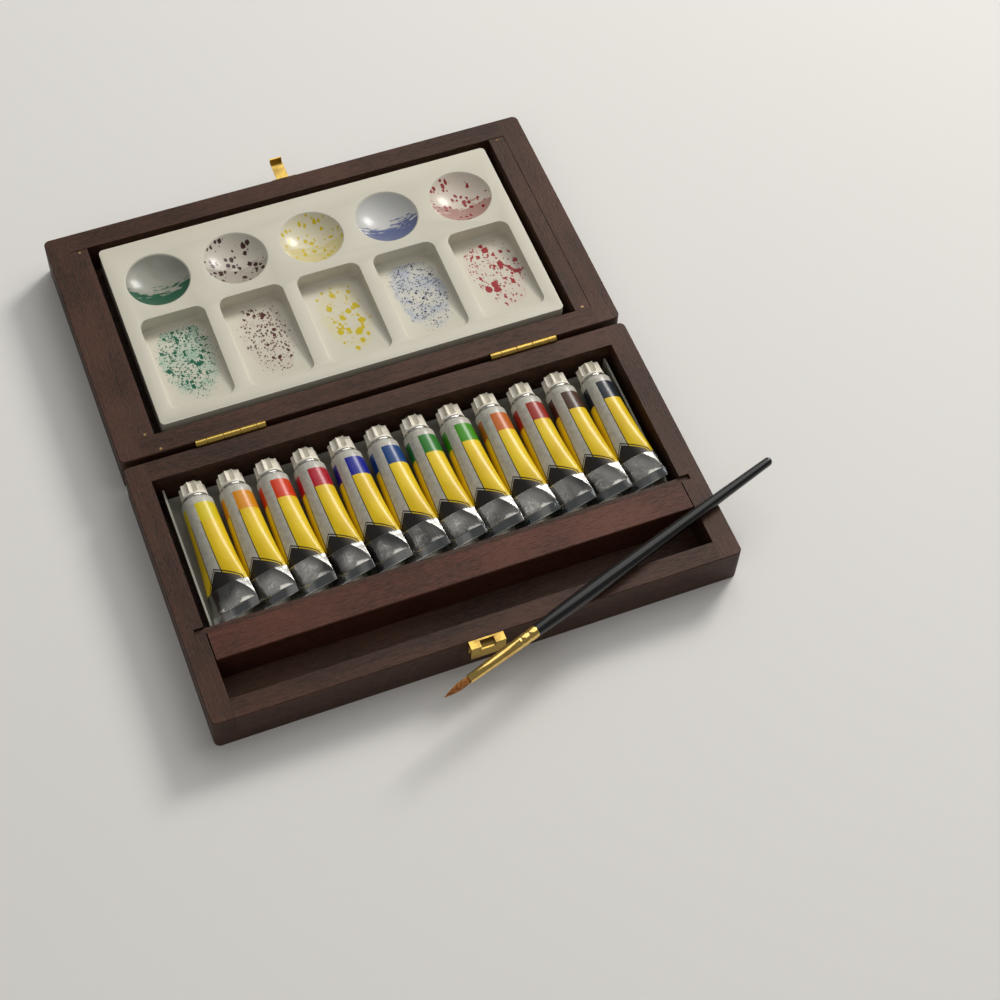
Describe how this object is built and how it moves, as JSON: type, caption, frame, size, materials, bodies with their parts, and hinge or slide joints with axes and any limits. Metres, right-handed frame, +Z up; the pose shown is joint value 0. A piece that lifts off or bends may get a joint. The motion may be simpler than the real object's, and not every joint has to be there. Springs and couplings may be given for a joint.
{
  "type": "watercolor paint box",
  "caption": "Hinged wooden artist box lying open, with paint tubes on a tray, a mixing palette in the lid, a brass latch and a brush across the rim",
  "frame": {"origin": "centre of the underside of the base, on the table", "axes": "+Z up, X along the box, +Y from the front of the base toward the open lid"},
  "size_m": [0.2937, 0.3345, 0.0298],
  "materials": {
    "dark_wood": "satin",
    "rail_wood": "satin",
    "panel_wood": "satin",
    "brass": "polished",
    "white_tray": "matte",
    "palette_white": "gloss",
    "cap_white": "gloss",
    "tube_foil": "satin",
    "black_lacquer": "gloss",
    "ferrule_gold": "polished",
    "brush_hair": "soft"
  },
  "bodies": {
    "base": {"base_front_wall": "dark_wood", "base_back_wall": "dark_wood", "base_left_wall": "dark_wood", "base_right_wall": "dark_wood", "base_floor_panel": "panel_wood", "divider_rail": "rail_wood", "partition_board": "dark_wood", "tube_tray": "white_tray", "latch_keeper": "brass", "keeper_pins": "brass", "hinge_left_base_leaf": "brass", "hinge_right_base_leaf": "brass", "hinge_pins": "brass", "hinge_base_screws": "brass"},
    "lid": {"lid_hinge_wall": "dark_wood", "lid_far_wall": "dark_wood", "lid_left_wall": "dark_wood", "lid_right_wall": "dark_wood", "lid_strip_left": "dark_wood", "lid_strip_right": "dark_wood", "lid_top_panel": "panel_wood", "lid_brads": "brass", "hinge_left_lid_leaf": "brass", "hinge_right_lid_leaf": "brass", "hinge_lid_screws": "brass", "latch_plate": "brass", "latch_plate_pins": "brass", "latch_pin": "brass"},
    "hasp": {"latch_hasp": "brass"},
    "palette": {"palette": "palette_white"},
    "tube_01": {"tube_01_body": "tube_foil"},
    "tube_01_cap": {"tube_01_cap": "cap_white"},
    "tube_02": {"tube_02_body": "tube_foil"},
    "tube_02_cap": {"tube_02_cap": "cap_white"},
    "tube_03": {"tube_03_body": "tube_foil"},
    "tube_03_cap": {"tube_03_cap": "cap_white"},
    "tube_04": {"tube_04_body": "tube_foil"},
    "tube_04_cap": {"tube_04_cap": "cap_white"},
    "tube_05": {"tube_05_body": "tube_foil"},
    "tube_05_cap": {"tube_05_cap": "cap_white"},
    "tube_06": {"tube_06_body": "tube_foil"},
    "tube_06_cap": {"tube_06_cap": "cap_white"},
    "tube_07": {"tube_07_body": "tube_foil"},
    "tube_07_cap": {"tube_07_cap": "cap_white"},
    "tube_08": {"tube_08_body": "tube_foil"},
    "tube_08_cap": {"tube_08_cap": "cap_white"},
    "tube_09": {"tube_09_body": "tube_foil"},
    "tube_09_cap": {"tube_09_cap": "cap_white"},
    "tube_10": {"tube_10_body": "tube_foil"},
    "tube_10_cap": {"tube_10_cap": "cap_white"},
    "tube_11": {"tube_11_body": "tube_foil"},
    "tube_11_cap": {"tube_11_cap": "cap_white"},
    "tube_12": {"tube_12_body": "tube_foil"},
    "tube_12_cap": {"tube_12_cap": "cap_white"},
    "brush": {"brush_handle": "black_lacquer", "brush_ferrule": "ferrule_gold", "brush_hair": "brush_hair"}
  },
  "joints": [
    {"name": "lid_hinge", "type": "hinge", "parent": "base", "child": "lid", "pos_m": [0, 0.0736, 0.02215], "axis": [-1, 0, 0], "range_deg": [-180, 0]},
    {"name": "hasp_swing", "type": "hinge", "parent": "lid", "child": "hasp", "pos_m": [0, 0.2216, 0.017], "axis": [1, 0, 0], "range_deg": [0, 90]},
    {"name": "palette_lift", "type": "slide", "parent": "lid", "child": "palette", "axis": [0, 0, 1], "range_m": [0, 0.04]},
    {"name": "tube_01_lift", "type": "slide", "parent": "base", "child": "tube_01", "axis": [0.4226, 0, 0.9063], "range_m": [0, 0.045]},
    {"name": "tube_01_cap_turn", "type": "hinge", "parent": "tube_01", "child": "tube_01_cap", "pos_m": [-0.1014, 0.0534, 0.0126], "axis": [0, 1, 0], "continuous": true},
    {"name": "tube_02_lift", "type": "slide", "parent": "base", "child": "tube_02", "axis": [0.4226, 0, 0.9063], "range_m": [0, 0.045]},
    {"name": "tube_02_cap_turn", "type": "hinge", "parent": "tube_02", "child": "tube_02_cap", "pos_m": [-0.08265, 0.0534, 0.0126], "axis": [0, 1, 0], "continuous": true},
    {"name": "tube_03_lift", "type": "slide", "parent": "base", "child": "tube_03", "axis": [0.4226, 0, 0.9063], "range_m": [0, 0.045]},
    {"name": "tube_03_cap_turn", "type": "hinge", "parent": "tube_03", "child": "tube_03_cap", "pos_m": [-0.0639, 0.0534, 0.0126], "axis": [0, 1, 0], "continuous": true},
    {"name": "tube_04_lift", "type": "slide", "parent": "base", "child": "tube_04", "axis": [0.4226, 0, 0.9063], "range_m": [0, 0.045]},
    {"name": "tube_04_cap_turn", "type": "hinge", "parent": "tube_04", "child": "tube_04_cap", "pos_m": [-0.04515, 0.0534, 0.0126], "axis": [0, 1, 0], "continuous": true},
    {"name": "tube_05_lift", "type": "slide", "parent": "base", "child": "tube_05", "axis": [0.4226, 0, 0.9063], "range_m": [0, 0.045]},
    {"name": "tube_05_cap_turn", "type": "hinge", "parent": "tube_05", "child": "tube_05_cap", "pos_m": [-0.0264, 0.0534, 0.0126], "axis": [0, 1, 0], "continuous": true},
    {"name": "tube_06_lift", "type": "slide", "parent": "base", "child": "tube_06", "axis": [0.4226, 0, 0.9063], "range_m": [0, 0.045]},
    {"name": "tube_06_cap_turn", "type": "hinge", "parent": "tube_06", "child": "tube_06_cap", "pos_m": [-0.00765, 0.0534, 0.0126], "axis": [0, 1, 0], "continuous": true},
    {"name": "tube_07_lift", "type": "slide", "parent": "base", "child": "tube_07", "axis": [0.4226, 0, 0.9063], "range_m": [0, 0.045]},
    {"name": "tube_07_cap_turn", "type": "hinge", "parent": "tube_07", "child": "tube_07_cap", "pos_m": [0.0111, 0.0534, 0.0126], "axis": [0, 1, 0], "continuous": true},
    {"name": "tube_08_lift", "type": "slide", "parent": "base", "child": "tube_08", "axis": [0.4226, 0, 0.9063], "range_m": [0, 0.045]},
    {"name": "tube_08_cap_turn", "type": "hinge", "parent": "tube_08", "child": "tube_08_cap", "pos_m": [0.02985, 0.0534, 0.0126], "axis": [0, 1, 0], "continuous": true},
    {"name": "tube_09_lift", "type": "slide", "parent": "base", "child": "tube_09", "axis": [0.4226, 0, 0.9063], "range_m": [0, 0.045]},
    {"name": "tube_09_cap_turn", "type": "hinge", "parent": "tube_09", "child": "tube_09_cap", "pos_m": [0.0486, 0.0534, 0.0126], "axis": [0, 1, 0], "continuous": true},
    {"name": "tube_10_lift", "type": "slide", "parent": "base", "child": "tube_10", "axis": [0.4226, 0, 0.9063], "range_m": [0, 0.045]},
    {"name": "tube_10_cap_turn", "type": "hinge", "parent": "tube_10", "child": "tube_10_cap", "pos_m": [0.06735, 0.0534, 0.0126], "axis": [0, 1, 0], "continuous": true},
    {"name": "tube_11_lift", "type": "slide", "parent": "base", "child": "tube_11", "axis": [0.4226, 0, 0.9063], "range_m": [0, 0.045]},
    {"name": "tube_11_cap_turn", "type": "hinge", "parent": "tube_11", "child": "tube_11_cap", "pos_m": [0.0861, 0.0534, 0.0126], "axis": [0, 1, 0], "continuous": true},
    {"name": "tube_12_lift", "type": "slide", "parent": "base", "child": "tube_12", "axis": [0.4226, 0, 0.9063], "range_m": [0, 0.045]},
    {"name": "tube_12_cap_turn", "type": "hinge", "parent": "tube_12", "child": "tube_12_cap", "pos_m": [0.10485, 0.0534, 0.0126], "axis": [0, 1, 0], "continuous": true},
    {"name": "brush_put_down", "type": "hinge", "parent": "base", "child": "brush", "pos_m": [0.06, -0.092, 0.0152], "axis": [1, 0, 0], "range_deg": [0, 180]}
  ],
  "couplings": [
    {"joint": "brush_put_down", "follows": "lid_hinge", "ratio": -1}
  ]
}
